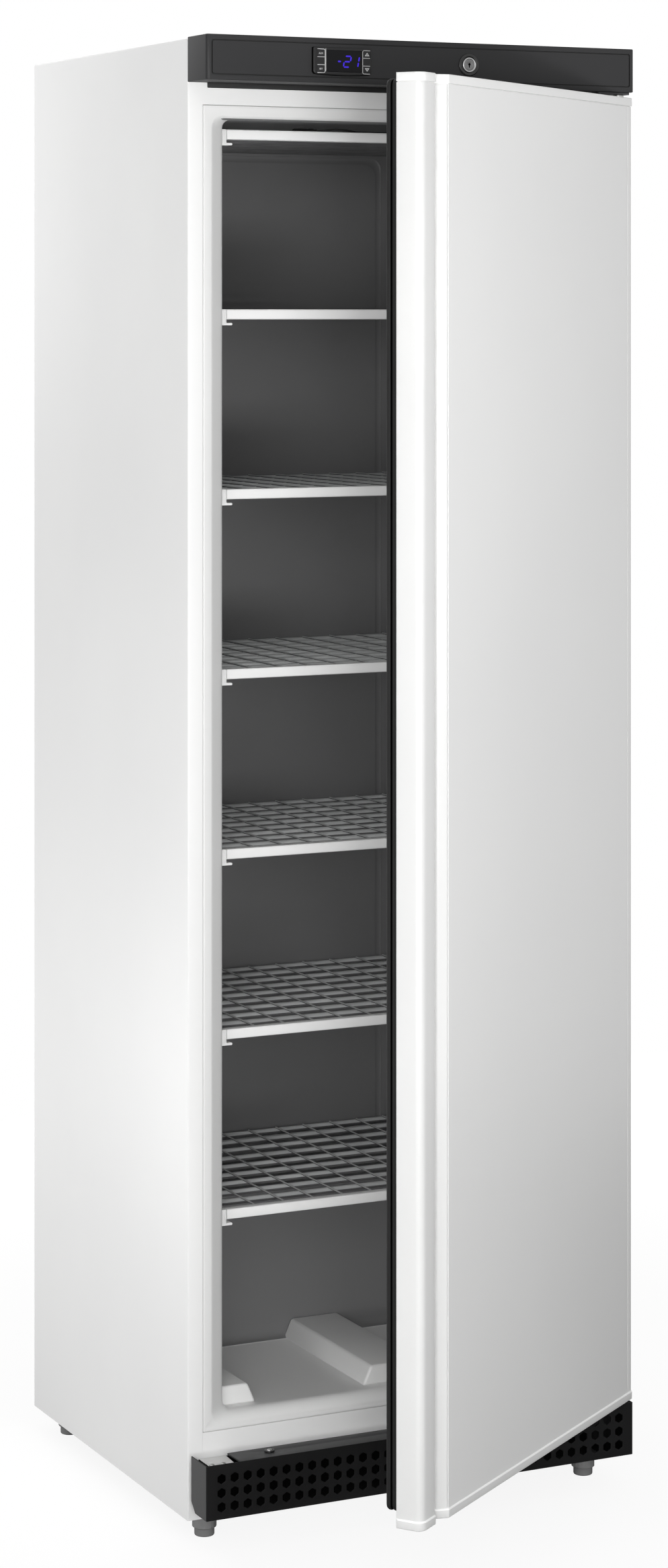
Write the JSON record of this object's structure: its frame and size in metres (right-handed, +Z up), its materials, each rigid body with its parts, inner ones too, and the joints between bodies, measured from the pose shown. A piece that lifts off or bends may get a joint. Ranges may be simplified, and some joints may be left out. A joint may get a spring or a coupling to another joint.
{
  "type": "upright freezer",
  "caption": "Free-standing upright freezer with a hinged insulated door, refrigerated tube shelves, black control fascia with lock, vented plinth grille and levelling feet.",
  "frame": {"origin": "on the floor, at the middle of the whole freezer's footprint with the door open as stored", "axes": "+Z up, +Y towards the back, +X to the right seen from the front"},
  "size_m": [0.6012, 0.9282, 1.85],
  "materials": {
    "cabinet_white": "white powder-coated sheet steel, satin",
    "liner_white": "white vacuum-formed plastic, satin",
    "galvanised": "galvanised sheet steel",
    "foam": "rigid foam",
    "fascia_black": "black moulded plastic, fine grain",
    "grille_black": "black powder coat",
    "cover_grey": "dark grey powder coat",
    "control_black": "black plastic, semi-gloss",
    "lens_dark": "dark translucent window",
    "key_black": "black plastic keys",
    "lock_metal": "polished die-cast",
    "lock_bezel": "black plastic bezel",
    "steel": "zinc-plated steel",
    "door_white": "white powder-coated sheet steel, satin",
    "handle_white": "white extruded plastic",
    "trim_white": "white moulded plastic",
    "gasket_black": "soft black magnetic seal",
    "bush_white": "acetal",
    "hinge_grey": "light grey plated steel",
    "hinge_dark": "dark plated steel",
    "pin_bright": "bright steel",
    "shelf_white": "white coated tube and wire",
    "foot_grey": "dark grey plastic",
    "compressor_black": "black enamel",
    "rubber_black": "black rubber",
    "copper": "copper tube",
    "condenser_black": "black enamel",
    "tray_grey": "grey moulded plastic",
    "probe_black": "black plastic"
  },
  "bodies": {
    "root": {"outer_shell": "cabinet_white", "back_panel": "galvanised", "insulation_foam": "foam", "inner_liner": "liner_white", "lower_front_panel": "cabinet_white", "base_frame": "galvanised", "top_fascia": "fascia_black", "thermostat_frame": "control_black", "thermostat_lens": "lens_dark", "thermostat_housing": "control_black", "lock_housing": "lock_bezel", "lock_nut": "steel", "upper_hinge_bracket": "hinge_dark", "lower_hinge_bracket": "hinge_grey", "hinge_pins": "pin_bright", "spare_hinge_plate": "hinge_grey", "front_grille": "grille_black", "grille_cover": "cover_grey", "body_screws": "steel", "shelf_front_trims": "trim_white", "shelf_clips": "trim_white", "riser_tube": "shelf_white", "compressor": "compressor_black", "compressor_mounts": "rubber_black", "relay_cover": "control_black", "evaporation_tray": "tray_grey", "filter_drier": "copper", "refrigerant_lines": "copper", "rear_condenser": "condenser_black", "condenser_brackets": "galvanised", "cable_gland": "rubber_black", "temperature_probe": "probe_black", "probe_lead": "probe_black", "shelf_1": "shelf_white", "shelf_2": "shelf_white", "shelf_3": "shelf_white", "shelf_4": "shelf_white", "shelf_5": "shelf_white", "shelf_6": "shelf_white", "shelf_7": "shelf_white"},
    "door": {"door_outer_panel": "door_white", "handle_profile": "handle_white", "hinge_edge_profile": "handle_white", "door_inner_liner": "liner_white", "door_foam": "foam", "door_top_trim": "trim_white", "door_bottom_trim": "trim_white", "door_gasket": "gasket_black", "hinge_bushes": "bush_white", "lock_keeper": "bush_white"},
    "lock": {"lock_barrel": "lock_metal", "lock_cam": "steel"},
    "key_left_upper_body": {"key_left_upper": "key_black"},
    "key_left_lower_body": {"key_left_lower": "key_black"},
    "key_right_upper_body": {"key_right_upper": "key_black"},
    "key_right_lower_body": {"key_right_lower": "key_black"},
    "front_left_foot_body": {"front_left_foot": "foot_grey"},
    "front_right_foot_body": {"front_right_foot": "foot_grey"},
    "rear_left_foot_body": {"rear_left_foot": "foot_grey"},
    "rear_right_foot_body": {"rear_right_foot": "foot_grey"}
  },
  "joints": [
    {"name": "door_hinge", "type": "hinge", "parent": "root", "child": "door", "pos_m": [0.285, -0.12143, 0.95], "axis": [0, 0, 1], "range_deg": [-35.6, 79.4]},
    {"name": "lock_turn", "type": "hinge", "parent": "root", "child": "lock", "pos_m": [0.0597, -0.13573, 1.8225], "axis": [0, -1, 0], "range_deg": [0, 90]},
    {"name": "key_left_upper_press", "type": "slide", "parent": "root", "child": "key_left_upper_body", "axis": [0, 1, 0], "range_m": [0, 0.0006], "stiffness_N_per_m": 400},
    {"name": "key_left_lower_press", "type": "slide", "parent": "root", "child": "key_left_lower_body", "axis": [0, 1, 0], "range_m": [0, 0.0006], "stiffness_N_per_m": 400},
    {"name": "key_right_upper_press", "type": "slide", "parent": "root", "child": "key_right_upper_body", "axis": [0, 1, 0], "range_m": [0, 0.0006], "stiffness_N_per_m": 400},
    {"name": "key_right_lower_press", "type": "slide", "parent": "root", "child": "key_right_lower_body", "axis": [0, 1, 0], "range_m": [0, 0.0006], "stiffness_N_per_m": 400},
    {"name": "front_left_foot_turn", "type": "hinge", "parent": "root", "child": "front_left_foot_body", "pos_m": [-0.269, -0.05793, 0.02], "axis": [0, 0, 1], "continuous": true},
    {"name": "front_right_foot_turn", "type": "hinge", "parent": "root", "child": "front_right_foot_body", "pos_m": [0.269, -0.05793, 0.02], "axis": [0, 0, 1], "continuous": true},
    {"name": "rear_left_foot_turn", "type": "hinge", "parent": "root", "child": "rear_left_foot_body", "pos_m": [-0.269, 0.39207, 0.02], "axis": [0, 0, 1], "continuous": true},
    {"name": "rear_right_foot_turn", "type": "hinge", "parent": "root", "child": "rear_right_foot_body", "pos_m": [0.269, 0.39207, 0.02], "axis": [0, 0, 1], "continuous": true}
  ]
}
